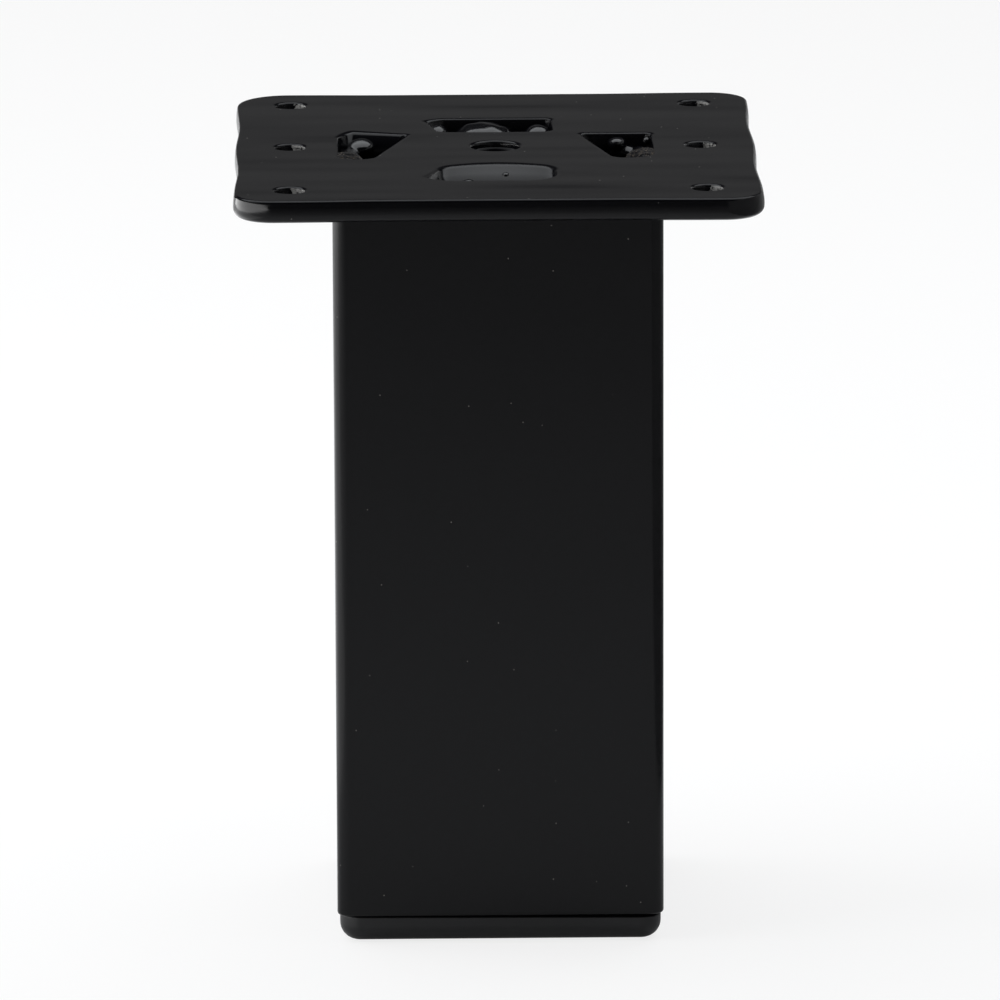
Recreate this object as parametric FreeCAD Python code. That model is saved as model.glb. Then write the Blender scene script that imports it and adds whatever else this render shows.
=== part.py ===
import FreeCAD, Part
import math
import os

# A short square table leg: a punched steel plate, a square steel tube welded under it through four windows,
# and a plastic cap pressed into the tube's lower end.
# Millimetres, +Z up, the origin on the floor under the middle of the leg. The front faces -Y.

# Driving dimensions, over the coat
LEG_HEIGHT = 120.0             # floor to the top of the plate

PLATE_SIZE = 80.0              # across the plate, over the crests beside the screw holes
PLATE_THICKNESS = 3.5
PLATE_CORNER_RADIUS = 6.0
PLATE_TOP_CHAMFER = 0.5
PLATE_BOTTOM_CHAMFER = 1.2     # wider, because the plate is punched from above and its lower edge draws in
EDGE_WAIST = 0.35              # how far the edge draws in between the crests

SCREW_EDGE_DISTANCE = 8.5      # from the plate's edge to the middle of a screw hole
SCREW_HOLE_DIAMETER = 4.6
SCREW_HOLE_CHAMFER = 0.45
CENTRE_HOLE_DIAMETER = 6.8     # tapping size of an M8 thread
CENTRE_HOLE_CHAMFER = 0.8      # lead-in of the thread

WINDOW_LENGTH = 19.0           # along the tube's wall
WINDOW_DEPTH = 10.4            # from the outer edge to the crown of the inner edge
WINDOW_CROWN = 4.6             # rise of the inner edge towards the leg's axis
WINDOW_FULLNESS = 0.82         # of the bowed inner edge: 0.55 is a half ellipse, 1 nearly square
WINDOW_CORNER_RADIUS = 2.5
WINDOW_CHAMFER = 1.2
TUBE_END_SHOWING = 0.4         # width of the tube's end face that shows in a window

TUBE_SIZE = 50.2
TUBE_WALL = 1.5
TUBE_CORNER_RADIUS = 2.0
TUBE_INNER_RADIUS = 0.6
TUBE_END_CHAMFER = 0.4         # on the lower end's outer edge

BEAD_RADIUS = 2.8
BEAD_END_RADIUS = 1.6          # at the tip of its tapered ends
BEAD_TAPER = 2.4               # length of a tapered end
BEAD_BELOW_TOP = 1.1           # the bead's top under the plate's top
BEAD_INSET = 1.2               # the bead's line in from the tube's inner wall
BEAD_END_CLEARANCE = 0.6       # from the bead to the window's end

HEAD_INSET = 0.4               # the cap's head inside the tube's outer face
HEAD_HEIGHT = 4.3              # floor to the seat of the tube
HEAD_CORNER_RADIUS = 3.2
HEAD_BOTTOM_ROUND = 2.7
HEAD_TOP_CHAMFER = 0.4
HEAD_FLOOR = 2.6               # wall under the plug's hollow

PLUG_HEIGHT = 18.0
PLUG_WALL = 2.0
PLUG_CORNER_RADIUS = 3.0
PLUG_LEAD_IN = 1.0             # chamfer round the plug's upper end
FIN_REACH = 1.4                # from the plug's side to the tube's inner wall
FIN_COUNT = 4
FIN_PITCH = 4.0
FIN_FIRST = 2.0                # from the head to the lowest fin
FIN_HEIGHT = 1.8
FIN_CORNER_RADIUS = 2.6

TOLERANCE = 0.01               # for picking edges by their place
AXIS = FreeCAD.Vector(0, 0, 1)
ORIGIN = FreeCAD.Vector(0, 0, 0)
SIDES = {"front": 0, "right": 1, "back": 2, "left": 3}
QUARTER_ROUND = 4 / 3 * math.tan(math.pi / 8)    # fullness of a curve that follows a quarter circle

# Sizes that follow from them
plate_half = PLATE_SIZE / 2
plate_underside = LEG_HEIGHT - PLATE_THICKNESS
hole_offset = plate_half - SCREW_EDGE_DISTANCE
tube_inner_half = TUBE_SIZE / 2 - TUBE_WALL
tube_inner_size = 2 * tube_inner_half
window_outer = tube_inner_half + TUBE_END_SHOWING
window_crown = window_outer - WINDOW_DEPTH
hole_to_window = hole_offset - SCREW_HOLE_DIAMETER / 2 - window_outer
chamfer_room = hole_to_window / 2 - TOLERANCE
head_size = TUBE_SIZE - 2 * HEAD_INSET
plug_size = tube_inner_size - 2 * FIN_REACH
plug_top = HEAD_HEIGHT + PLUG_HEIGHT


def turned(shape, quarter):
    """A copy of the shape, turned about the leg's axis by quarter turns."""
    copy = shape.copy()
    copy.rotate(ORIGIN, AXIS, 90 * quarter)
    return copy


def rounded_square(size, radius, height):
    """A closed wire at the given height: a square on the leg's axis with rounded corners."""
    half = size / 2
    flat = half - radius
    middle = flat + radius * math.sqrt(0.5)
    side_end = FreeCAD.Vector(flat, -half, height)
    side = Part.LineSegment(FreeCAD.Vector(-flat, -half, height), side_end).toShape()
    corner_middle = FreeCAD.Vector(middle, -middle, height)
    arc = Part.Arc(side_end, corner_middle, FreeCAD.Vector(half, -flat, height)).toShape()
    return Part.Wire([turned(edge, quarter) for quarter in SIDES.values() for edge in (side, arc)])


def rounded_bar(size, radius, low, high):
    """A solid square bar on the leg's axis with rounded long edges."""
    return Part.Face(rounded_square(size, radius, low)).extrude(AXIS * (high - low))


def level_edges(solid, height):
    """The edges of the solid that lie flat at the given height."""
    low = height - TOLERANCE
    high = height + TOLERANCE
    return [edge for edge in solid.Edges if edge.BoundBox.ZMin > low and edge.BoundBox.ZMax < high]


def bend(start, bow_start, bow_end, end):
    """A smooth curve that leaves the start along bow_start and comes to the end along bow_end."""
    curve = Part.BezierCurve()
    curve.setPoles([start, start + bow_start, end - bow_end, end])
    return curve


def corner(start, end, fullness):
    """A quarter turn that leaves the start along X and comes to the end along Y."""
    bow_start = FreeCAD.Vector(fullness * (end.x - start.x), 0, 0)
    bow_end = FreeCAD.Vector(0, fullness * (end.y - start.y), 0)
    return bend(start, bow_start, bow_end, end)


def s_curve(start, end):
    """A curve from start to end that is level with the X axis at both ends."""
    bow = FreeCAD.Vector((end.x - start.x) / 2, 0, 0)
    return bend(start, bow, bow, end)


def plate_side(middle_inset):
    """The plate's front edge with its right corner, swollen beside each punched hole."""
    waist = hole_offset / 2
    flat_end = plate_half - PLATE_CORNER_RADIUS
    stops = [
        (-flat_end, 0),
        (-hole_offset, 0),
        (-waist, EDGE_WAIST),
        (0, middle_inset),
        (waist, EDGE_WAIST),
        (hole_offset, 0),
        (flat_end, 0),
    ]
    points = [FreeCAD.Vector(x, inset - plate_half, plate_underside) for x, inset in stops]
    curves = [
        Part.LineSegment(start, end) if start.y == end.y else s_curve(start, end)
        for start, end in zip(points, points[1:])
    ]
    corner_end = FreeCAD.Vector(plate_half, -flat_end, plate_underside)
    curves.append(corner(points[-1], corner_end, QUARTER_ROUND))
    return [curve.toShape() for curve in curves]


def plate_blank():
    """The plate before its holes: swollen beside each hole to come, with chamfered edges."""
    outline = []
    for name, quarter in SIDES.items():
        three_holes = name in ("left", "right")
        outline += [turned(edge, quarter) for edge in plate_side(0 if three_holes else EDGE_WAIST)]
    blank = Part.Face(Part.Wire(outline)).extrude(AXIS * PLATE_THICKNESS)
    blank = blank.makeChamfer(PLATE_TOP_CHAMFER, level_edges(blank, LEG_HEIGHT))
    return blank.makeChamfer(PLATE_BOTTOM_CHAMFER, level_edges(blank, plate_underside))


def hole_slug(diameter, x, y):
    """A round slug through the plate."""
    return Part.makeCylinder(diameter / 2, PLATE_THICKNESS, FreeCAD.Vector(x, y, plate_underside))


def window_slug(quarter, low, high):
    """The slug of one weld window: straight along the tube's wall, bowed towards the leg's axis."""
    end = WINDOW_LENGTH / 2
    flat_end = end - WINDOW_CORNER_RADIUS
    crown = FreeCAD.Vector(0, -window_crown, low)
    curves = []
    for side in (1, -1):
        outer_start = FreeCAD.Vector(flat_end * side, -window_outer, low)
        outer_end = FreeCAD.Vector(end * side, WINDOW_CORNER_RADIUS - window_outer, low)
        inner_end = FreeCAD.Vector(end * side, -window_crown - WINDOW_CROWN, low)
        half = [
            Part.LineSegment(FreeCAD.Vector(0, -window_outer, low), outer_start),
            corner(outer_start, outer_end, QUARTER_ROUND),
            Part.LineSegment(outer_end, inner_end),
            corner(crown, inner_end, WINDOW_FULLNESS),
        ]
        curves += half if side > 0 else half[::-1]
    slug = Part.Face(Part.Wire([curve.toShape() for curve in curves])).extrude(AXIS * (high - low))
    return turned(slug.removeSplitter(), quarter)


def pierced(plate, slugs, chamfer):
    """The plate with the slugs taken out and the upper mouths chamfered."""
    for slug in slugs:
        plate = plate.cut(slug)
    mouths = []
    for slug in slugs:
        reach = slug.BoundBox
        reach.enlarge(TOLERANCE)
        mouths += [edge for edge in level_edges(plate, LEG_HEIGHT) if reach.isInside(edge.BoundBox)]
    return plate.makeChamfer(chamfer, mouths)


def mounting_plate():
    """The punched plate: six screw holes in two columns, a tapping hole and four weld windows."""
    screw_holes = [
        hole_slug(SCREW_HOLE_DIAMETER, x, y)
        for x in (-hole_offset, hole_offset)
        for y in (-hole_offset, 0, hole_offset)
    ]
    windows = [window_slug(quarter, plate_underside, LEG_HEIGHT) for quarter in SIDES.values()]
    plate = pierced(plate_blank(), screw_holes, min(SCREW_HOLE_CHAMFER, chamfer_room))
    plate = pierced(plate, windows, min(WINDOW_CHAMFER, chamfer_room))
    return pierced(plate, [hole_slug(CENTRE_HOLE_DIAMETER, 0, 0)], CENTRE_HOLE_CHAMFER)


def tube_bore():
    """The hollow of the tube."""
    return rounded_bar(tube_inner_size, TUBE_INNER_RADIUS, HEAD_HEIGHT, plate_underside)


def leg_tube():
    """The square tube, from the cap's head to the underside of the plate."""
    bar = rounded_bar(TUBE_SIZE, TUBE_CORNER_RADIUS, HEAD_HEIGHT, plate_underside)
    bar = bar.makeChamfer(TUBE_END_CHAMFER, level_edges(bar, HEAD_HEIGHT))
    return bar.cut(tube_bore())


def bead_stock():
    """A roll with tapered ends along the front wall, as the welder lays it, before it fills its corner."""
    tip = WINDOW_LENGTH / 2 - BEAD_END_CLEARANCE
    shoulder = tip - BEAD_TAPER
    line = FreeCAD.Vector(0, BEAD_INSET - tube_inner_half, LEG_HEIGHT - BEAD_BELOW_TOP - BEAD_RADIUS)
    stops = [
        (-tip, 0),
        (-tip, BEAD_END_RADIUS),
        (-shoulder, BEAD_RADIUS),
        (shoulder, BEAD_RADIUS),
        (tip, BEAD_END_RADIUS),
        (tip, 0),
        (-tip, 0),
    ]
    profile = Part.makePolygon([line + FreeCAD.Vector(x, 0, rise) for x, rise in stops])
    return Part.Face(profile).revolve(line, FreeCAD.Vector(1, 0, 0), 360)


def weld_bead(quarter):
    """One weld bead: the part of the roll that fills the window's outer edge and the tube's wall below it."""
    stock = turned(bead_stock(), quarter)
    in_window = stock.common(window_slug(quarter, plate_underside, LEG_HEIGHT))
    return in_window.fuse(stock.common(tube_bore())).removeSplitter()


def plug_fin(low):
    """One gripping fin round the plug: a rim that bears on the tube, tapered away above it."""
    fin = rounded_bar(tube_inner_size, FIN_CORNER_RADIUS, low, low + FIN_HEIGHT)
    return fin.makeChamfer(FIN_REACH, level_edges(fin, low + FIN_HEIGHT))


def foot_cap():
    """The moulded cap: a rounded head on the floor, and a hollow finned plug in the tube."""
    head = rounded_bar(head_size, HEAD_CORNER_RADIUS, 0, HEAD_HEIGHT)
    head = head.makeFillet(HEAD_BOTTOM_ROUND, level_edges(head, 0))
    head = head.makeChamfer(HEAD_TOP_CHAMFER, level_edges(head, HEAD_HEIGHT))
    plug = rounded_bar(plug_size, PLUG_CORNER_RADIUS, HEAD_HEIGHT, plug_top)
    plug = plug.makeChamfer(PLUG_LEAD_IN, level_edges(plug, plug_top))
    cap = head.fuse(plug)
    for fin in range(FIN_COUNT):
        cap = cap.fuse(plug_fin(HEAD_HEIGHT + FIN_FIRST + fin * FIN_PITCH))
    hollow_size = plug_size - 2 * PLUG_WALL
    hollow = rounded_bar(hollow_size, PLUG_CORNER_RADIUS - PLUG_WALL, HEAD_FLOOR, plug_top)
    return cap.cut(hollow).removeSplitter()


parts = {"mounting_plate": mounting_plate(), "leg_tube": leg_tube(), "foot_cap": foot_cap()}
for name, quarter in SIDES.items():
    parts["weld_" + name] = weld_bead(quarter)

os.makedirs("parts", exist_ok=True)
for name, shape in parts.items():
    shape.exportStep("parts/" + name + ".step")
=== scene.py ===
import math
from collections import namedtuple

import bmesh
import bpy
from mathutils import Matrix, Quaternion, Vector, noise


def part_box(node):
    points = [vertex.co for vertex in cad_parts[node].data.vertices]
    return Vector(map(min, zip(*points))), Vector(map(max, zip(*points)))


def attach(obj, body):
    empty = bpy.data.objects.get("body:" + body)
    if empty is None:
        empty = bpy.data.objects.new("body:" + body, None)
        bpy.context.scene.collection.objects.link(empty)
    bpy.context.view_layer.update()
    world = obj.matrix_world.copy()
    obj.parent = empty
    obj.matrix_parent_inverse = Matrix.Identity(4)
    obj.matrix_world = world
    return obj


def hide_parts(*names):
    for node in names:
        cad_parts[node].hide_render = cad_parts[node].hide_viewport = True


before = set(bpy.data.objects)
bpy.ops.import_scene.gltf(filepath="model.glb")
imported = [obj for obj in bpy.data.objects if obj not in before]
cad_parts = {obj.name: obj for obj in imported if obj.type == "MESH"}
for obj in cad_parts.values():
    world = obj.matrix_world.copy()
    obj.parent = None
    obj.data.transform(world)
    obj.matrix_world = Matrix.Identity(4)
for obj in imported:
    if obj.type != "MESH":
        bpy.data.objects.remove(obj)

bl_info = {
    "name": "Square table leg",
    "version": (1, 0, 0),
    "blender": (4, 5, 0),
    "location": "View3D > Sidebar > Leg",
    "description": "Builds a gloss black square table leg with a screw plate, and its studio",
    "category": "Object",
}

MM = 0.001
QUARTER_TURN = math.pi / 2
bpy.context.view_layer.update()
PLATE_LOW, PLATE_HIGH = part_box("mounting_plate")
TUBE_LOW, TUBE_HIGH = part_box("leg_tube")
_, CAP_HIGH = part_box("foot_cap")
TUBE_WALL_MM = 1.5
HAIR = 1e-7    # metres, too thin to see: an inset of it leaves an upright wall
# How many quarter turns each side stands from the front.
SIDES = {"front": 0, "right": 1, "back": 2, "left": 3}
# A round on so many corners of an outline, with its radius in metres.
Round = namedtuple("Round", "radius segments corners")

# A weld window in millimetres, as if it were the front one and seen from above with its outer side nearest.
# outer, inner_left and inner_right: how far its long sides lie from the leg's axis, the inner at each end.
# bow: how far the inner side bows towards the axis.
# corner_left and corner_right: radii of the outer corners.
# slope and slope_drop: how far the inner wall slopes out into the window, and down to what depth.
# lobe_end and lobe_at: the end that is dished wider, -1 left, 1 right or 0 none, and how far from the axis.
WindowShape = namedtuple(
    "WindowShape",
    "outer inner_left inner_right bow corner_left corner_right slope slope_drop lobe_end lobe_at",
)
WINDOWS = {
    "front": WindowShape(
        outer=26.2, inner_left=15.2, inner_right=15.2, bow=3.3, corner_left=3.4, corner_right=6.0,
        slope=4.2, slope_drop=1.9, lobe_end=-1, lobe_at=21.8,
    ),
    "right": WindowShape(
        outer=25.2, inner_left=17.2, inner_right=11.6, bow=0.0, corner_left=4.8, corner_right=2.2,
        slope=1.4, slope_drop=2.0, lobe_end=0, lobe_at=21.8,
    ),
    "back": WindowShape(
        outer=21.4, inner_left=10.0, inner_right=10.0, bow=0.4, corner_left=2.2, corner_right=2.6,
        slope=1.2, slope_drop=1.5, lobe_end=1, lobe_at=17.5,
    ),
    "left": WindowShape(
        outer=25.2, inner_left=11.8, inner_right=18.2, bow=0.0, corner_left=3.4, corner_right=3.6,
        slope=1.4, slope_drop=2.0, lobe_end=-1, lobe_at=21.8,
    ),
}

# A ball of weld in millimetres from the line of its bead, as if at the front: along the window, towards the
# leg's axis and up, then its half sizes in the same order.
BEAD_ROLL = (0.0, 0.0, 0.0, 10.0, 2.1, 2.3)
BEAD_LUMPS = {
    "front": [
        (1.3, 6.9, 2.05, 0.7, 0.8, 0.7), (-7.4, -0.8, 1.6, 1.7, 1.5, 1.3), (-4.4, -0.6, 1.6, 2.2, 1.6, 1.4),
        (1.8, -0.6, 1.4, 4.0, 1.8, 1.5), (7.0, -0.8, 1.5, 2.6, 1.6, 1.4),
    ],
    "right": [
        (-4.4, -0.5, 1.85, 6.4, 3.2, 1.55), (8.8, -1.0, 2.2, 0.9, 0.8, 0.7), (8.4, 3.6, 1.9, 1.9, 1.5, 1.1),
        (8.4, 2.0, 0.4, 1.4, 2.8, 1.0),
    ],
    "back": [
        (1.5, 4.4, 1.0, 4.6, 4.4, 2.2), (-6.8, 4.6, 1.0, 2.2, 2.8, 1.9), (8.6, 3.2, 1.4, 1.6, 1.9, 1.3),
    ],
    "left": [
        (-8.2, 1.8, 1.5, 2.4, 2.2, 1.3), (5.0, -0.6, 1.7, 5.4, 2.8, 1.6),
    ],
}

# Where the painted highlight on the screw holes' right-hand walls starts and ends across the plate, for both
# columns of holes.
HOLE_HIGHLIGHT_SPANS = ((-30.3 * MM, -28 * MM), (32.7 * MM, 35 * MM))
# How bright the room is by height, which is 0 at the horizon and 1 overhead.
ROOM_LIGHT = ((0.0, 0.07), (0.12, 0.095), (0.24, 0.122), (0.28, 0.12), (0.34, 0.014), (0.6, 0.01))


def length(name, description, mm):
    """A property for a length, with its default in millimetres."""
    return bpy.props.FloatProperty(
        name=name, description=description, default=mm * MM, unit="LENGTH", precision=5
    )


def share(name, description, value):
    """A property for a number between nought and one."""
    return bpy.props.FloatProperty(
        name=name, description=description, default=value, min=0, max=1, subtype="FACTOR"
    )


def colour(name, description, value):
    """A property for a colour."""
    return bpy.props.FloatVectorProperty(
        name=name, description=description, default=value, size=3, min=0, max=1, subtype="COLOR"
    )


class LegPlateSizes(bpy.types.PropertyGroup):
    """The screw plate's own sizes."""

    corner: length("Corner", "Radius of the plate's corners", 6.0)
    worn_corner: length("Worn corner", "Radius of the corner at the back on the left", 8.0)
    top_round: length("Top round", "Round on the upper edge", 0.5)
    bottom_round: length("Bottom round", "Round on the lower edge", 1.4)
    waist: length("Waist", "How far the edge draws in between the screw holes", 0.42)
    border: length("Border", "Width of the level strip beside each round, which keeps the shading flat", 0.3)
    hole_offset: length("Hole offset", "From the middle of the plate to the screw holes, both ways", 31.5)
    hole_mouth: length("Hole mouth", "Radius of a screw hole at the top face", 2.9)
    hole_dish: length("Hole dish", "Width of the shallow dish round a hole", 0.3)
    hole_round: length("Hole round", "Tight round inside the dish of a hole", 0.5)
    centre_mouth: length("Centre mouth", "Radius of the tapped hole at the top face", 4.35)
    window_length: length("Window length", "Length of a weld window's mouth along the tube's wall", 20.0)
    lobe: length("Window lobe", "How much wider one end of a window is dished", 2.6)
    window_dish: length("Window dish", "Width of the shallow dish round a weld window", 0.5)
    window_lip_depth: length("Window lip depth", "How far down a weld window narrows", 3.1)
    window_round: length("Window round", "Tight round inside the dish of a weld window", 0.35)


class LegTubeSizes(bpy.types.PropertyGroup):
    """The tube's own sizes."""

    corner: length("Corner", "Outer radius of the tube's long edges", 2.0)
    wall: length("Wall", "Thickness of the tube's wall", TUBE_WALL_MM)
    end_round: length("End round", "Round on the lower end's outer edge", 0.5)


class LegCapSizes(bpy.types.PropertyGroup):
    """The foot cap's own sizes."""

    corner: length("Corner", "Radius of the head's upright edges", 3.2)
    bottom_round: length("Bottom round", "Round on the head's lower edge", 2.7)
    top_round: length("Top round", "Round on the head's upper edge", 0.25)
    plug_half: length("Plug half width", "Half the width of the plug between its fins", 22.2)
    plug_corner: length("Plug corner", "Radius of the plug's upright edges", 3.0)
    gap_left: length("Gap at the left", "Open joint under the tube at the left", 0.08)
    gap_right: length("Gap at the right", "Open joint under the tube at the right", 0.4)


class LegFinishes(bpy.types.PropertyGroup):
    """Colours and gloss of the leg, and the floor's colour."""

    coat: colour("Coat", "Colour of the baked coat", (0.0024, 0.0024, 0.0033))
    coat_roughness: share("Coat roughness", "Roughness of the baked coat", 0.13)
    dust: colour("Dust", "Colour of the dust specks in the coat", (0.16, 0.15, 0.14))
    # A lighter grey painted on the screw holes' right-hand walls: a painted highlight of the light from the
    # left.
    hole_highlight_grey: colour("Steel", "Colour of bare steel in the screw holes", (0.22, 0.217, 0.21))
    weld: colour("Weld", "Colour of bare grains on the weld beads", (0.06, 0.045, 0.03))
    plastic: colour("Plastic", "Colour of the foot cap", (0.006, 0.006, 0.007))
    floor: colour("Floor", "Colour of the studio floor", (0.9, 0.9, 0.9))
    floor_lift: share("Floor lift", "How far the camera sees the floor lifted to white", 0.8)
    mirror_lift: share("Mirror lift", "How far gloss and glass see the floor lifted to white", 0.15)


class Wire:
    """An output of a shader node. Sums on it add the Math nodes that they need."""

    def __init__(self, finish, socket):
        self.finish = finish
        self.socket = socket

    def sum(self, operation, first, second):
        """Adds one Math node."""
        return self.finish.node("ShaderNodeMath", {"operation": operation}, {0: first, 1: second})

    def __add__(self, other):
        return self.sum("ADD", self, other)

    __radd__ = __add__

    def __mul__(self, other):
        return self.sum("MULTIPLY", self, other)

    __rmul__ = __mul__

    def __lt__(self, other):
        return self.sum("LESS_THAN", self, other)

    def __gt__(self, other):
        return self.sum("GREATER_THAN", self, other)


class Finish:
    """A node tree under construction: a material, or the world."""

    # Places of the colour sockets in a Mix node, where sockets of other kinds have the same names.
    MIX_FIRST = 6
    MIX_SECOND = 7
    MIX_RESULT = 2

    def __init__(self, owner):
        self.owner = owner
        owner.use_nodes = True
        self.nodes = owner.node_tree.nodes
        self.links = owner.node_tree.links

    def node(self, kind, settings=None, sockets=None, output=0):
        """Adds a node with its settings, feeds its sockets and returns one of its outputs."""
        made = self.nodes.new(kind)
        for name, value in (settings or {}).items():
            if name == "stops":
                self.set_stops(made.color_ramp, value)
            else:
                setattr(made, name, value)
        for name, value in (sockets or {}).items():
            self.feed(made.inputs[name], value)
        return Wire(self, made.outputs[output])

    def set_stops(self, ramp, stops):
        """Gives a ramp its stops, each a place and a grey."""
        while len(ramp.elements) < len(stops):
            ramp.elements.new(1.0)
        for element, (place, grey) in zip(ramp.elements, stops):
            element.position = place
            element.color = (grey, grey, grey, 1)

    def feed(self, socket, value):
        """Links a wire to a socket, or sets the socket's own value."""
        if isinstance(value, Wire):
            self.links.new(value.socket, socket)
        else:
            socket.default_value = value

    def place(self):
        """The place on the piece, in metres."""
        return self.node("ShaderNodeTexCoord", output="Object")

    def along(self, place, axis):
        """How far a place lies along X, Y or Z."""
        return self.node("ShaderNodeSeparateXYZ", None, {"Vector": place}, output=axis)

    def ramp(self, value, *stops):
        """A grey that follows a value by stops."""
        return self.node("ShaderNodeValToRGB", {"stops": stops}, {"Fac": value})

    def clouds(self, place, size, detail=2.0):
        """Soft noise whose patches are about as large as size."""
        return self.node("ShaderNodeTexNoise", None, {"Vector": place, "Scale": 1 / size, "Detail": detail})

    def specks(self, place, spacing, radius, rarity):
        """A mask of small dots, at most one to a cell. The rarity is the share of cells without one."""
        cells = {"Vector": place, "Scale": 1 / spacing}
        near = self.node("ShaderNodeTexVoronoi", None, cells, output="Distance") < radius / spacing
        tint = self.node("ShaderNodeTexVoronoi", None, cells, output="Color")
        pick = self.node("ShaderNodeSeparateColor", None, {"Color": tint}, output="Red") > rarity
        return near * pick

    def blend(self, factor, first, second):
        """A colour between two colours."""
        sockets = {"Factor": factor, self.MIX_FIRST: first, self.MIX_SECOND: second}
        return self.node("ShaderNodeMix", {"data_type": "RGBA"}, sockets, output=self.MIX_RESULT)

    def relief(self, height, depth, under=None):
        """A bump of the given depth, over another one where there is one."""
        sockets = {"Height": height, "Distance": depth, "Strength": 1.0}
        if under:
            sockets["Normal"] = under
        return self.node("ShaderNodeBump", None, sockets)


def rgba(value):
    """A colour with full cover."""
    return (*value, 1.0)


def new_finish(name):
    """A new material with the sockets of its surface shader."""
    finish = Finish(bpy.data.materials.new(name))
    return finish, finish.nodes["Principled BSDF"].inputs


def hole_highlight_mask(finish, place):
    """A mask of the right-hand walls of the screw holes, where a lighter grey is painted as a highlight of
    the light from the left.
    """
    wander = 1.6 * MM
    hole_reach = 36 * MM
    lip_depth = 0.22 * MM
    bottom_margin = 0.1 * MM
    across, along, height = (finish.along(place, axis) for axis in "XYZ")
    uneven = across + wander * finish.clouds(place, size=0.9 * MM)
    left, right = ((uneven > start) * (across < end) for start, end in HOLE_HIGHLIGHT_SPANS)
    upright = (height < PLATE_HIGH.z - lip_depth) * (height > PLATE_LOW.z + bottom_margin)
    return (left + right) * (along * along < hole_reach ** 2) * upright


def coat_finish(finishes, name, ripple, shine):
    """The gloss black coat: soft ripples of the given depth, a fine orange peel, dust specks and a painted
    highlight in the screw holes.
    """
    patch_roughness = 0.08
    dust_roughness = 0.4
    ripple_stretch = (0.22, 1.0, 0.4)
    finish, surface = new_finish(name)
    place = finish.place()
    hole_highlight_breakup = finish.clouds(place, size=0.5 * MM, detail=3.0)
    # Painted highlight: the lighter grey on the screw holes' right-hand walls, broken up by noise.
    bare = finish.ramp(hole_highlight_breakup, (0.34, 0), (0.52, 1)) * hole_highlight_mask(finish, place)
    dust = finish.specks(place, spacing=2.2 * MM, radius=0.1 * MM, rarity=0.66)
    patches = finish.clouds(place, size=18 * MM)
    dusty = finish.blend(dust, rgba(finishes.coat), rgba(finishes.dust))
    roughness = finishes.coat_roughness + patch_roughness * patches + dust_roughness * dust
    stretched = finish.node("ShaderNodeMapping", None, {"Vector": place, "Scale": ripple_stretch})
    ripples = finish.relief(finish.clouds(stretched, size=11 * MM, detail=1.0), depth=ripple)
    peel = finish.relief(finish.clouds(place, size=0.9 * MM, detail=1.0), depth=0.0035 * MM, under=ripples)
    grit = finish.specks(place, spacing=3.4 * MM, radius=0.22 * MM, rarity=0.55)
    # The base colour is the coat with its dust specks, with the painted highlight in the screw holes over
    # it.
    finish.feed(surface["Base Color"], finish.blend(bare, dusty, rgba(finishes.hole_highlight_grey)))
    finish.feed(surface["Roughness"], roughness)
    finish.feed(surface["Specular IOR Level"], shine)
    finish.feed(surface["Normal"], finish.relief(grit, depth=0.02 * MM, under=peel))
    return finish.owner


def weld_finish(finishes):
    """The coat over the weld beads, with bare grains at the near ends of the side ones."""
    side_reach = 15 * MM
    flow_roughness = 0.05
    grain_roughness = 0.2
    grain_elsewhere = 0.15    # as a share of the relief at the near ends
    finish, surface = new_finish("coated_weld")
    place = finish.place()
    across, along = (finish.along(place, axis) for axis in "XY")
    near_ends = (across * across > side_reach ** 2) * (along < 0)
    grain = finish.clouds(place, size=0.4 * MM, detail=3.0)
    bare = near_ends * finish.ramp(grain, (0.56, 0), (0.66, 1))
    roughness = finishes.coat_roughness + flow_roughness + grain_roughness * bare
    finish.feed(surface["Base Color"], finish.blend(bare, rgba(finishes.coat), rgba(finishes.weld)))
    finish.feed(surface["Roughness"], roughness)
    finish.feed(surface["Specular IOR Level"], 0.5)
    finish.feed(surface["Normal"], finish.relief(grain * (near_ends + grain_elsewhere), depth=0.06 * MM))
    return finish.owner


def plastic_finish(finishes):
    """The foot cap's moulded plastic, with a dull skin and scuffs."""
    skin_roughness = 0.34
    scuff_roughness = 0.14
    finish, surface = new_finish("moulded_plastic")
    place = finish.place()
    skin = finish.clouds(place, size=0.5 * MM, detail=3.0)
    scuffs = finish.clouds(place, size=7 * MM)
    dust = finish.specks(place, spacing=2.2 * MM, radius=0.08 * MM, rarity=0.75)
    finish.feed(surface["Base Color"], finish.blend(dust, rgba(finishes.plastic), rgba(finishes.dust)))
    finish.feed(surface["Roughness"], skin_roughness + scuff_roughness * scuffs)
    finish.feed(surface["Specular IOR Level"], 0.3)
    finish.feed(surface["Normal"], finish.relief(skin, depth=0.012 * MM))
    return finish.owner


def floor_finish(finishes):
    """Matt white paper, lifted towards white where the camera or a gloss sees it."""
    finish, surface = new_finish("white_paper")
    fibres = finish.clouds(finish.place(), size=3 * MM, detail=3.0)
    finish.feed(surface["Base Color"], rgba(finishes.floor))
    finish.feed(surface["Roughness"], 0.85)
    finish.feed(surface["Specular IOR Level"], 0.2)
    finish.feed(surface["Normal"], finish.relief(fibres, depth=0.02 * MM))
    seen, mirrored, passed = (
        finish.node("ShaderNodeLightPath", output=ray)
        for ray in ("Is Camera Ray", "Is Glossy Ray", "Is Transmission Ray")
    )
    lift = seen * finishes.floor_lift + (mirrored + passed) * finishes.mirror_lift
    paper = Wire(finish, finish.nodes["Principled BSDF"].outputs[0])
    white = finish.node("ShaderNodeEmission", None, {"Color": (1, 1, 1, 1), "Strength": 1.0})
    lifted = finish.node("ShaderNodeMixShader", None, {0: lift, 1: paper, 2: white})
    finish.feed(finish.nodes["Material Output"].inputs["Surface"], lifted)
    return finish.owner


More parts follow.
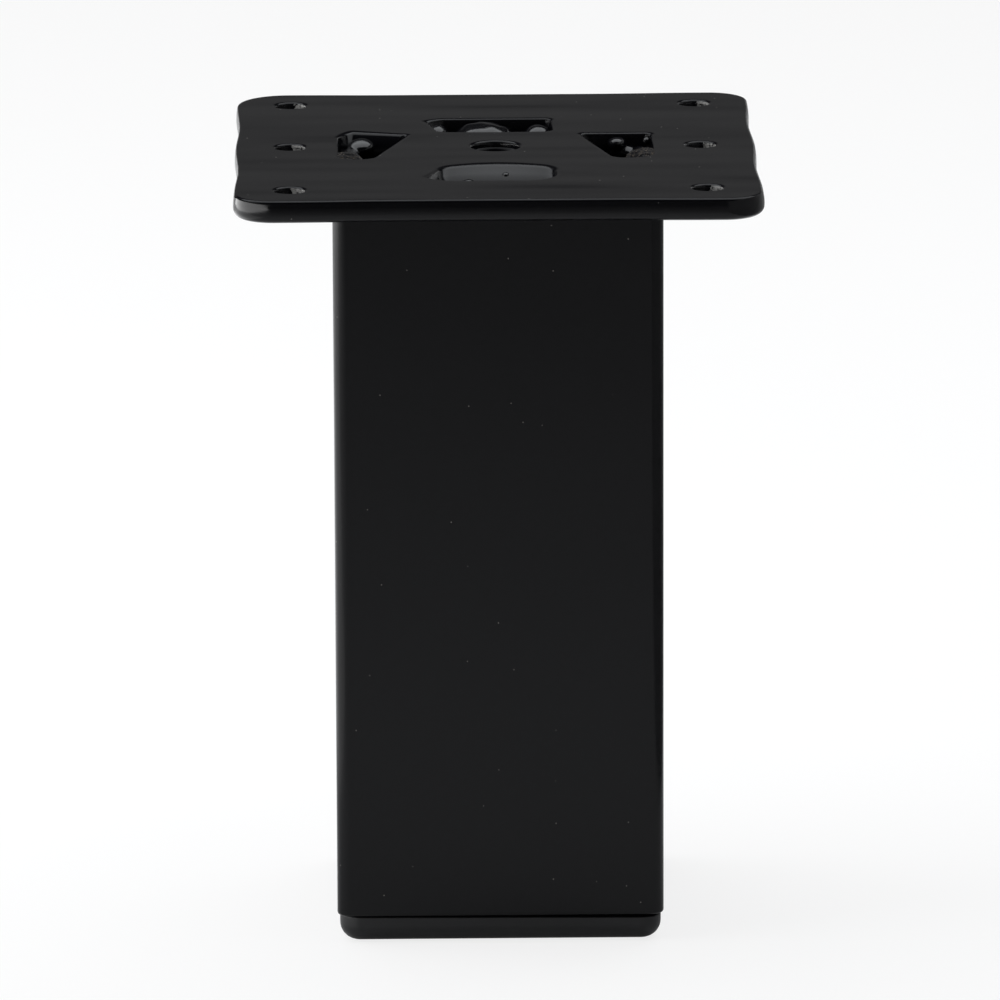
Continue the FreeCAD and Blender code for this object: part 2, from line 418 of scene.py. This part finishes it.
def new_object(name, mesh, material):
    """Puts a finished mesh into the scene, all in one material."""
    finished = bpy.data.meshes.new(name)
    mesh.to_mesh(finished)
    mesh.free()
    finished.materials.append(material)
    made = bpy.data.objects.new(name, finished)
    bpy.context.scene.collection.objects.link(made)
    return made


def add_piece(name, mesh, material, slot, *nodes):
    """Makes the mesh a piece that rides on the leg and stands for the CAD nodes."""
    piece = new_object(name, mesh, material)
    for face in piece.data.polygons:
        face.use_smooth = True
    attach(piece, "root")
    if nodes:
        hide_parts(*nodes)
    return piece


def even_shading(piece):
    """Keeps large flat faces flat beside narrow rounds."""
    modifier = piece.modifiers.new("even_shading", "WEIGHTED_NORMAL")
    modifier.mode = "FACE_AREA"
    modifier.weight = 50


def turn_face(face, up):
    """Makes a level face look up or down."""
    face.normal_update()
    if (face.normal.z > 0) != up:
        face.normal_flip()


def outline_face(mesh, corners, height, *rounds):
    """A flat face at the given height that looks up. The rounds take its corners in order."""
    start = [mesh.verts.new((x, y, height)) for x, y in corners]
    mesh.faces.new(start)
    for radius, segments, count in rounds:
        made = bmesh.ops.bevel(
            mesh, geom=start[:count], affect="VERTICES", offset=radius, segments=segments,
            profile=0.5, material=-1,
        )
        start = start[count:]
    face = made["verts"][0].link_faces[0]
    turn_face(face, up=True)
    return face


def square(half):
    """The corners of a square about the leg's axis."""
    return [(-half, -half), (half, -half), (half, half), (-half, half)]


def step(mesh, face, inward, rise):
    """Draws the face in and up, which leaves a strip round it."""
    bmesh.ops.inset_region(
        mesh, faces=[face], use_even_offset=True, use_boundary=True,
        thickness=max(inward, HAIR), depth=rise,
    )


def roll_in(mesh, face, radius, segments):
    """A quarter round from an upright wall in to a level face."""
    turn = QUARTER_TURN / segments
    for index in range(segments):
        inward = radius * (math.cos(index * turn) - math.cos((index + 1) * turn))
        rise = radius * (math.sin((index + 1) * turn) - math.sin(index * turn))
        step(mesh, face, inward, rise)


def add_under(mesh, height, radius, segments):
    """Closes the open rim at a height from below by a quarter round, and returns its level face."""
    under = bmesh.ops.contextual_create(mesh, geom=open_edges(mesh, height))["faces"][0]
    turn_face(under, up=False)
    roll_in(mesh, under, radius, segments)
    return under


def drop_face(mesh, face):
    """Takes a face out and keeps its edges."""
    bmesh.ops.delete(mesh, geom=[face], context="FACES_ONLY")


def open_edges(mesh, height):
    """The edges at a height that have a face on one side only."""
    near = 0.01 * MM
    return [
        edge for edge in mesh.edges
        if edge.is_boundary and all(abs(vert.co.z - height) < near for vert in edge.verts)
    ]


def fill_level(mesh, height, up):
    """Fills the level face between the open edges at a height, round all the holes."""
    bmesh.ops.triangle_fill(
        mesh, use_beauty=True, edges=open_edges(mesh, height), normal=(0, 0, 1 if up else -1)
    )


def turn_to_side(mesh, side):
    """Turns a mesh that is drawn at the front to its own side of the leg."""
    turn = Matrix.Rotation(SIDES[side] * QUARTER_TURN, 3, "Z")
    bmesh.ops.rotate(mesh, cent=(0, 0, 0), matrix=turn, verts=mesh.verts)


def join(part, whole):
    """Adds one mesh to another."""
    carrier = bpy.data.meshes.new("carrier")
    part.to_mesh(carrier)
    part.free()
    whole.from_mesh(carrier)
    bpy.data.meshes.remove(carrier)


def smooth_step(low, high, value):
    """Goes smoothly from nought at low to one at high."""
    part = min(max((value - low) / (high - low), 0.0), 1.0)
    return part * part * (3 - 2 * part)


def edge_inset(along, offset, waist, three_holes):
    """How far the plate's edge is drawn in at a place along one side."""
    reach = abs(along)
    if reach > offset:
        return 0.0
    if three_holes or reach > offset / 2:
        return waist * (1 - math.cos(2 * math.pi * reach / offset)) / 2
    return waist


def plate_outline(mesh, sizes, half, height):
    """The plate's outline as one face: rounded corners, and sides that swell beside the holes."""
    rounds = (
        Round(sizes.corner, segments=14, corners=3),
        Round(sizes.worn_corner, segments=14, corners=1),
    )
    face = outline_face(mesh, square(half), height, *rounds)
    sides = [edge for edge in face.edges if edge.calc_length() > half]
    bmesh.ops.subdivide_edges(mesh, edges=sides, cuts=56)
    near = 0.001 * MM
    for vert in face.verts:
        for axis in (0, 1):
            if abs(abs(vert.co[axis]) - half) < near:
                inset = edge_inset(vert.co[1 - axis], sizes.hole_offset, sizes.waist, three_holes=axis == 0)
                vert.co[axis] -= math.copysign(inset, vert.co[axis])
    return face


def build_plate(sizes):
    """The screw plate with its rolled edges, six screw holes, tapped hole and four windows."""
    edge_leans = (1, 3, 6, 10)    # degrees, in strips up the edge
    mesh = bmesh.new()
    top = PLATE_HIGH.z
    bottom = PLATE_LOW.z
    half = PLATE_HIGH.x
    shoulder = bottom + sizes.bottom_round
    face = plate_outline(mesh, sizes, half, shoulder)
    rise = (top - shoulder - sizes.top_round) / len(edge_leans)
    for lean in edge_leans:
        step(mesh, face, rise * math.tan(math.radians(lean)), rise)
    roll_in(mesh, face, sizes.top_round, segments=6)
    step(mesh, face, sizes.border, 0)
    drop_face(mesh, face)
    drop_face(mesh, add_under(mesh, shoulder, sizes.bottom_round, segments=8))

    for x in (-sizes.hole_offset, sizes.hole_offset):
        for y in (-sizes.hole_offset, 0, sizes.hole_offset):
            punch_hole(mesh, x, y, sizes.hole_mouth, sizes)
    punch_hole(mesh, 0, 0, sizes.centre_mouth, sizes)
    for side in SIDES:
        punch_window(mesh, side, sizes)
    fill_level(mesh, top, up=True)
    fill_level(mesh, bottom, up=False)
    bmesh.ops.recalc_face_normals(mesh, faces=mesh.faces)
    return mesh


def lip_profile(dish, radius, steepness, depth):
    """Steps in and down into a hole: a shallow dish, a tight round, then a wall of so many degrees."""
    dish_steps = 6
    round_steps = 8
    wall_steps = 4
    shallow = math.radians(18)
    steep = math.radians(steepness)
    wide = dish / math.sin(shallow)
    places = []
    for index in range(dish_steps + 1):
        angle = shallow * index / dish_steps
        places.append((wide * math.sin(angle), wide * (1 - math.cos(angle))))
    across, down = places[-1]
    for index in range(1, round_steps + 1):
        angle = shallow + (steep - shallow) * index / round_steps
        inward = across + radius * (math.sin(angle) - math.sin(shallow))
        places.append((inward, down + radius * (math.cos(shallow) - math.cos(angle))))
    across, down = places[-1]
    for index in range(1, wall_steps + 1):
        drop = (depth - down) * (index / wall_steps)
        places.append((across + drop / math.tan(steep), down + drop))
    return [(b[0] - a[0], b[1] - a[1]) for a, b in zip(places, places[1:])]


def punch_hole(mesh, x, y, mouth_radius, sizes):
    """A round hole with a rolled upper lip, ready for the level faces to be filled round it."""
    place = Matrix.Translation((x, y, PLATE_HIGH.z))
    radius = mouth_radius + sizes.border
    circle = bmesh.ops.create_circle(mesh, cap_ends=True, radius=radius, segments=64, matrix=place)
    face = circle["verts"][0].link_faces[0]
    turn_face(face, up=True)
    step(mesh, face, sizes.border, 0)
    for inward, drop in lip_profile(sizes.hole_dish, sizes.hole_round, steepness=82, depth=1.0 * MM):
        step(mesh, face, inward, -drop)
    step(mesh, face, 0, PLATE_LOW.z - face.verts[0].co.z)
    drop_face(mesh, face)


def window_mouth(mesh, shape, half):
    """The mouth of a window, drawn as if it were the front one."""
    outer = shape.outer * MM
    left = shape.inner_left * MM
    right = shape.inner_right * MM
    inner_corner = 2.5 * MM
    bowed_zone = 2.6 * MM    # takes in the inner side with its round corners
    corners = [(-half, -outer), (half, -outer), (half, -right), (-half, -left)]
    rounds = (
        Round(shape.corner_left * MM, segments=10, corners=1),
        Round(shape.corner_right * MM, segments=10, corners=1),
        Round(inner_corner, segments=8, corners=2),
    )
    face = outline_face(mesh, corners, PLATE_HIGH.z, *rounds)
    inner_side = [
        edge for edge in face.edges
        if abs(edge.verts[0].co.x - edge.verts[1].co.x) > half / 2 and edge.verts[0].co.y > -outer + HAIR
    ]
    bmesh.ops.subdivide_edges(mesh, edges=inner_side, cuts=24)
    for vert in face.verts:
        if vert.co.y > -max(left, right) - bowed_zone:
            vert.co.y += shape.bow * MM * (1 - (vert.co.x / half) ** 2)
    return face


def punch_window(mesh, side, sizes):
    """A weld window: steep at its ends, with a slope on the side towards the leg's axis."""
    fade = 4 * MM       # the width over which the slope and the lobe set in
    lobe_start = 0.6    # as a share of the half length
    end_loss = 0.4      # the share of the slope that is gone at the ends
    shape = WINDOWS[side]
    half = sizes.window_length / 2
    window = bmesh.new()
    mouth = window_mouth(window, shape, half)
    step(window, mouth, sizes.border, 0)
    lip = lip_profile(sizes.window_dish, sizes.window_round, steepness=85, depth=sizes.window_lip_depth)
    for inward, drop in lip:
        step(window, mouth, inward, -drop)
    step(window, mouth, 0, PLATE_LOW.z - mouth.verts[0].co.z)
    drop_face(window, mouth)
    middle = (shape.outer + max(shape.inner_left, shape.inner_right)) / 2 * MM
    for vert in window.verts:
        drop = PLATE_HIGH.z - vert.co.z
        depth = min(drop / sizes.window_lip_depth, 1.0)
        down_slope = min(drop / (shape.slope_drop * MM), 1.0)
        towards_axis = smooth_step(-middle, fade - middle, vert.co.y)
        at_end = smooth_step(lobe_start, 1.0, shape.lobe_end * vert.co.x / half)
        at_lobe = smooth_step(fade, 0, abs(vert.co.y + shape.lobe_at * MM))
        to_end = 1 - end_loss * (vert.co.x / half) ** 2
        vert.co.y -= shape.slope * MM * down_slope * towards_axis * to_end
        vert.co.x += shape.lobe_end * sizes.lobe * at_end * at_lobe * (1 - depth) ** 2
    turn_to_side(window, side)
    join(window, mesh)


def build_thread():
    """The tapped sleeve of the middle hole: a ring with thread grooves inside."""
    mesh = bmesh.new()
    core = 3.25 * MM
    root = 3.72 * MM
    outside = 3.85 * MM
    pitch = 1.25 * MM
    crest_top = 0.45 * pitch
    crest_bottom = 0.55 * pitch
    last_crest = 0.2    # as a share of the part turn that is left at the bottom
    mouth_depth = 0.9 * MM
    bottom_margin = 0.05 * MM
    top = PLATE_HIGH.z - mouth_depth
    bottom = PLATE_LOW.z + bottom_margin
    profile = [(outside, bottom), (outside, top), (root, top)]
    height = top
    while height - pitch > bottom:
        profile += [(core, height - crest_top), (core, height - crest_bottom), (root, height - pitch)]
        height -= pitch
    profile += [(core, bottom + last_crest * (height - bottom)), (core, bottom)]
    verts = [mesh.verts.new((radius, 0, z)) for radius, z in profile]
    edges = [mesh.edges.new(pair) for pair in zip(verts, verts[1:] + verts[:1])]
    bmesh.ops.spin(
        mesh, geom=verts + edges, axis=(0, 0, 1), cent=(0, 0, 0), angle=2 * math.pi, steps=72, use_merge=True
    )
    bmesh.ops.remove_doubles(mesh, verts=mesh.verts, dist=0.0001 * MM)
    bmesh.ops.recalc_face_normals(mesh, faces=mesh.faces)
    return mesh


def build_tube(sizes):
    """The square tube: outer wall, lower end with its rounded edge, and inner wall."""
    mesh = bmesh.new()
    low = TUBE_LOW.z
    high = TUBE_HIGH.z
    long_edges = Round(sizes.corner, segments=12, corners=4)
    face = outline_face(mesh, square(TUBE_HIGH.x), low + sizes.end_round, long_edges)
    step(mesh, face, 0, high - low - sizes.end_round)
    step(mesh, face, sizes.wall, 0)
    step(mesh, face, 0, low - high)
    drop_face(mesh, face)
    drop_face(mesh, add_under(mesh, low + sizes.end_round, sizes.end_round, segments=5))
    bmesh.ops.bridge_loops(mesh, edges=open_edges(mesh, low))
    bmesh.ops.recalc_face_normals(mesh, faces=mesh.faces)
    return mesh


def build_cap(sizes):
    """The foot cap: a rounded head, and the hollow finned plug that grips the tube."""
    mesh = bmesh.new()
    half = CAP_HIGH.x
    seat = TUBE_LOW.z
    near = 0.1 * MM
    upright_edges = Round(sizes.corner, segments=12, corners=4)
    head = outline_face(mesh, square(half), sizes.bottom_round, upright_edges)
    step(mesh, head, 0, seat - sizes.bottom_round - sizes.top_round)
    roll_in(mesh, head, sizes.top_round, segments=4)
    head_rim = [vert for vert in mesh.verts if vert.co.z > sizes.bottom_round + near]
    drop_face(mesh, head)
    add_under(mesh, sizes.bottom_round, sizes.bottom_round, segments=10)
    add_plug(mesh, sizes, seat)
    fill_level(mesh, seat, up=True)
    for vert in head_rim:
        along = (vert.co.x / half + 1) / 2
        vert.co.z -= sizes.gap_left + (sizes.gap_right - sizes.gap_left) * along
    bmesh.ops.recalc_face_normals(mesh, faces=mesh.faces)
    return mesh


def add_plug(mesh, sizes, seat):
    """The plug that stands on the cap's head: four fins, a tapered end and a hollow."""
    fin_count = 4
    neck = 2.0 * MM
    fin_edge = 0.4 * MM
    fin_taper = 1.4 * MM
    fin_gap = 2.2 * MM
    end_taper = 1.0 * MM
    plug_wall = 1.0 * MM
    hollow_floor = 2.6 * MM
    upright_edges = Round(sizes.plug_corner, segments=8, corners=4)
    plug = outline_face(mesh, square(sizes.plug_half), seat, upright_edges)
    fin_scale = (TUBE_HIGH.x - TUBE_WALL_MM * MM) / sizes.plug_half
    step(mesh, plug, 0, neck)
    for _ in range(fin_count):
        step(mesh, plug, 0, 0)
        widen(mesh, plug, fin_scale)
        step(mesh, plug, 0, fin_edge)
        step(mesh, plug, 0, fin_taper)
        widen(mesh, plug, 1 / fin_scale)
        step(mesh, plug, 0, fin_gap)
    step(mesh, plug, end_taper, CAP_HIGH.z - plug.calc_center_median().z)
    step(mesh, plug, plug_wall, 0)
    step(mesh, plug, 0, hollow_floor - CAP_HIGH.z)


def widen(mesh, face, scale):
    """Widens a level face about the leg's axis."""
    bmesh.ops.scale(mesh, vec=(scale, scale, 1), verts=face.verts)


def build_bead(side):
    """One weld bead: a rippled roll along the window's outer edge, with lumps and spatter."""
    line_y = -22.4 * MM
    line_z = PLATE_HIGH.z - 3.4 * MM
    ripple_length = 2.1 * MM
    ripple_height = 0.03 * MM
    rough_length = 2.2 * MM
    rough_height = 0.2 * MM
    rough_sideways = 0.6
    own_patch = Vector((SIDES[side], 0, 0))
    mesh = bmesh.new()
    for x, y, z, long, wide, tall in [BEAD_ROLL] + BEAD_LUMPS[side]:
        place = Matrix.Translation((x * MM, line_y + y * MM, line_z + z * MM))
        shape = Matrix.Diagonal((long * MM, wide * MM, tall * MM, 1.0))
        bmesh.ops.create_icosphere(mesh, subdivisions=5, radius=1.0, matrix=place @ shape)
    for vert in mesh.verts:
        ripple = math.cos(2 * math.pi * vert.co.x / ripple_length) * ripple_height
        rough = noise.noise(vert.co / rough_length + own_patch) * rough_height
        vert.co.z += ripple + rough
        vert.co.y += rough_sideways * rough
    turn_to_side(mesh, side)
    return mesh


class LEG_OT_plate(bpy.types.Operator):
    """Build the screw plate"""

    bl_idname = "leg.plate"
    bl_label = "Screw plate"

    def execute(self, context):
        finishes = context.scene.leg_finishes
        plate_coat = coat_finish(finishes, "plate_coat", ripple=0.5 * MM, shine=0.195)
        plate = build_plate(context.scene.leg_plate)
        even_shading(add_piece("plate", plate, plate_coat, "black_coat", "mounting_plate"))
        thread_coat = coat_finish(finishes, "thread_coat", ripple=0.1 * MM, shine=0.08)
        add_piece("plate_thread", build_thread(), thread_coat, "black_coat")
        return {"FINISHED"}


class LEG_OT_tube(bpy.types.Operator):
    """Build the square tube"""

    bl_idname = "leg.tube"
    bl_label = "Square tube"

    def execute(self, context):
        tube_coat = coat_finish(context.scene.leg_finishes, "tube_coat", ripple=0.1 * MM, shine=0.18)
        tube = build_tube(context.scene.leg_tube)
        even_shading(add_piece("tube", tube, tube_coat, "black_coat", "leg_tube"))
        return {"FINISHED"}


class LEG_OT_beads(bpy.types.Operator):
    """Build the four weld beads"""

    bl_idname = "leg.beads"
    bl_label = "Weld beads"

    def execute(self, context):
        weld_coat = weld_finish(context.scene.leg_finishes)
        for side in SIDES:
            bead = add_piece("bead_" + side, build_bead(side), weld_coat, "black_coat", "weld_" + side)
            remesh = bead.modifiers.new("one_skin", "REMESH")
            remesh.mode = "VOXEL"
            remesh.voxel_size = 0.15 * MM
            remesh.use_smooth_shade = True
            smooth = bead.modifiers.new("flow", "SMOOTH")
            smooth.iterations = 40
        return {"FINISHED"}


class LEG_OT_cap(bpy.types.Operator):
    """Build the foot cap"""

    bl_idname = "leg.cap"
    bl_label = "Foot cap"

    def execute(self, context):
        cap_skin = plastic_finish(context.scene.leg_finishes)
        cap = build_cap(context.scene.leg_cap)
        even_shading(add_piece("cap", cap, cap_skin, "cap_plastic", "foot_cap"))
        return {"FINISHED"}


def add_softbox(name, place, target, size, radiance, seen_by=("diffuse", "glossy"), tint=(1, 1, 1)):
    """A rectangular lamp that shines from place to target with an even radiance."""
    lamp = bpy.data.lights.new(name, "AREA")
    lamp.shape = "RECTANGLE"
    lamp.size, lamp.size_y = size
    lamp.energy = radiance * math.pi * size[0] * size[1]
    lamp.color = tint
    box = bpy.data.objects.new(name, lamp)
    box.location = place
    box.rotation_mode = "QUATERNION"
    box.rotation_quaternion = (Vector(target) - Vector(place)).to_track_quat("-Z", "Y")
    box.visible_camera = False
    box.visible_diffuse = "diffuse" in seen_by
    box.visible_glossy = "glossy" in seen_by
    bpy.context.scene.collection.objects.link(box)


def add_lamps():
    """A large lamp overhead, and smaller ones that light the floor or show in the coat."""
    add_softbox(
        "overhead", place=(-0.1, 0.14, 0.62), target=(-0.1, 0.14, 0), size=(1.2, 0.68), radiance=2.1,
        tint=(0.94, 0.97, 1.0),
    )
    add_softbox(
        "key", place=(-0.75, 0.0, 0.42), target=(0, 0.1, 0.1), size=(0.9, 0.55), radiance=3.0,
        seen_by=("diffuse",),
    )
    add_softbox(
        "backdrop", place=(0, 1.3, 1.0), target=(0, 0.9, 0), size=(2.6, 1.2), radiance=1.0,
        seen_by=("diffuse",),
    )
    add_softbox(
        "strip", place=(-0.58, -0.77, 0.115), target=(0, -0.77, 0.115), size=(2.84, 0.22), radiance=6.2,
        seen_by=("glossy",),
    )
    add_softbox(
        "bounce", place=(-0.36, 0.08, 0.002), target=(-0.36, 0.08, 1), size=(0.5, 0.5), radiance=0.95,
        seen_by=("glossy",),
    )


def add_floor(finishes):
    """A wide sheet of white paper."""
    mesh = bmesh.new()
    bmesh.ops.create_grid(mesh, x_segments=1, y_segments=1, size=8.0)
    floor = new_object("floor", mesh, floor_finish(finishes))


def add_flag():
    """A grey card at the right that keeps the floor out of the tube's reflection there."""
    grey = 0.3
    height_to_length = 0.2
    place = Matrix.Translation((0.11, 0.0, 0.1)) @ Matrix.Rotation(QUARTER_TURN, 4, "Y")
    shape = Matrix.Diagonal((height_to_length, 1.0, 1.0, 1.0))
    mesh = bmesh.new()
    bmesh.ops.create_grid(mesh, x_segments=1, y_segments=1, size=0.5)
    bmesh.ops.transform(mesh, matrix=place @ shape, verts=mesh.verts)
    finish, surface = new_finish("grey_card")
    finish.feed(surface["Base Color"], (grey, grey, grey, 1))
    flag = new_object("flag", mesh, finish.owner)
    flag.visible_camera = False
    flag.visible_diffuse = False
    flag.visible_shadow = False


def add_world():
    """A dim grey room, lightest a little above the horizon and dark overhead."""
    world = bpy.data.worlds.new("room")
    bpy.context.scene.world = world
    finish = Finish(world)
    view = finish.node("ShaderNodeTexCoord", output="Generated")
    light = finish.ramp(finish.along(view, "Z"), *ROOM_LIGHT)
    finish.feed(finish.nodes["Background"].inputs["Color"], light)


def add_camera():
    """The photograph's camera: a long lens, a little above the plate."""
    place = Vector((-23.69, -1636.06, 463.85)) * MM
    target = Vector((0.49, 0.0, 64.02)) * MM
    roll = math.radians(-0.219)
    camera = bpy.data.objects.new("camera", bpy.data.cameras.new("camera"))
    camera.data.lens = 392.1
    camera.data.sensor_width = 36.0
    camera.location = place
    camera.rotation_mode = "QUATERNION"
    aim = (target - place).to_track_quat("-Z", "Y")
    camera.rotation_quaternion = aim @ Quaternion((0, 0, 1), roll)
    bpy.context.scene.collection.objects.link(camera)
    bpy.context.scene.camera = camera


class LEG_OT_stage(bpy.types.Operator):
    """Set up the floor, the lights and the camera"""

    bl_idname = "leg.stage"
    bl_label = "Studio"

    def execute(self, context):
        add_floor(context.scene.leg_finishes)
        add_flag()
        add_world()
        add_camera()
        add_lamps()
        context.scene.view_settings.view_transform = "Standard"
        return {"FINISHED"}


class LEG_PT_panel(bpy.types.Panel):
    """Lists the pieces of the leg and their settings"""

    bl_label = "Table leg"
    bl_idname = "LEG_PT_panel"
    bl_space_type = "VIEW_3D"
    bl_region_type = "UI"
    bl_category = "Leg"

    def draw(self, context):
        for operator in OPERATORS:
            self.layout.operator(operator.bl_idname)
        for group in GROUPS:
            box = self.layout.box()
            settings = getattr(context.scene, group)
            for name in settings.__annotations__:
                box.prop(settings, name)


OPERATORS = (LEG_OT_plate, LEG_OT_tube, LEG_OT_beads, LEG_OT_cap, LEG_OT_stage)
GROUPS = {
    "leg_plate": LegPlateSizes,
    "leg_tube": LegTubeSizes,
    "leg_cap": LegCapSizes,
    "leg_finishes": LegFinishes,
}


def register():
    """Makes the classes and the settings known to Blender."""
    for kind in (*GROUPS.values(), *OPERATORS, LEG_PT_panel):
        bpy.utils.register_class(kind)
    for name, kind in GROUPS.items():
        setattr(bpy.types.Scene, name, bpy.props.PointerProperty(type=kind))


def unregister():
    """Takes back what register did."""
    for name in GROUPS:
        delattr(bpy.types.Scene, name)
    for kind in (LEG_PT_panel, *OPERATORS, *GROUPS.values()):
        bpy.utils.unregister_class(kind)


def main():
    """Builds the leg and its studio."""
    register()
    bpy.ops.leg.plate()
    bpy.ops.leg.tube()
    bpy.ops.leg.beads()
    bpy.ops.leg.cap()
    bpy.ops.leg.stage()


if __name__ == "__main__":
    main()
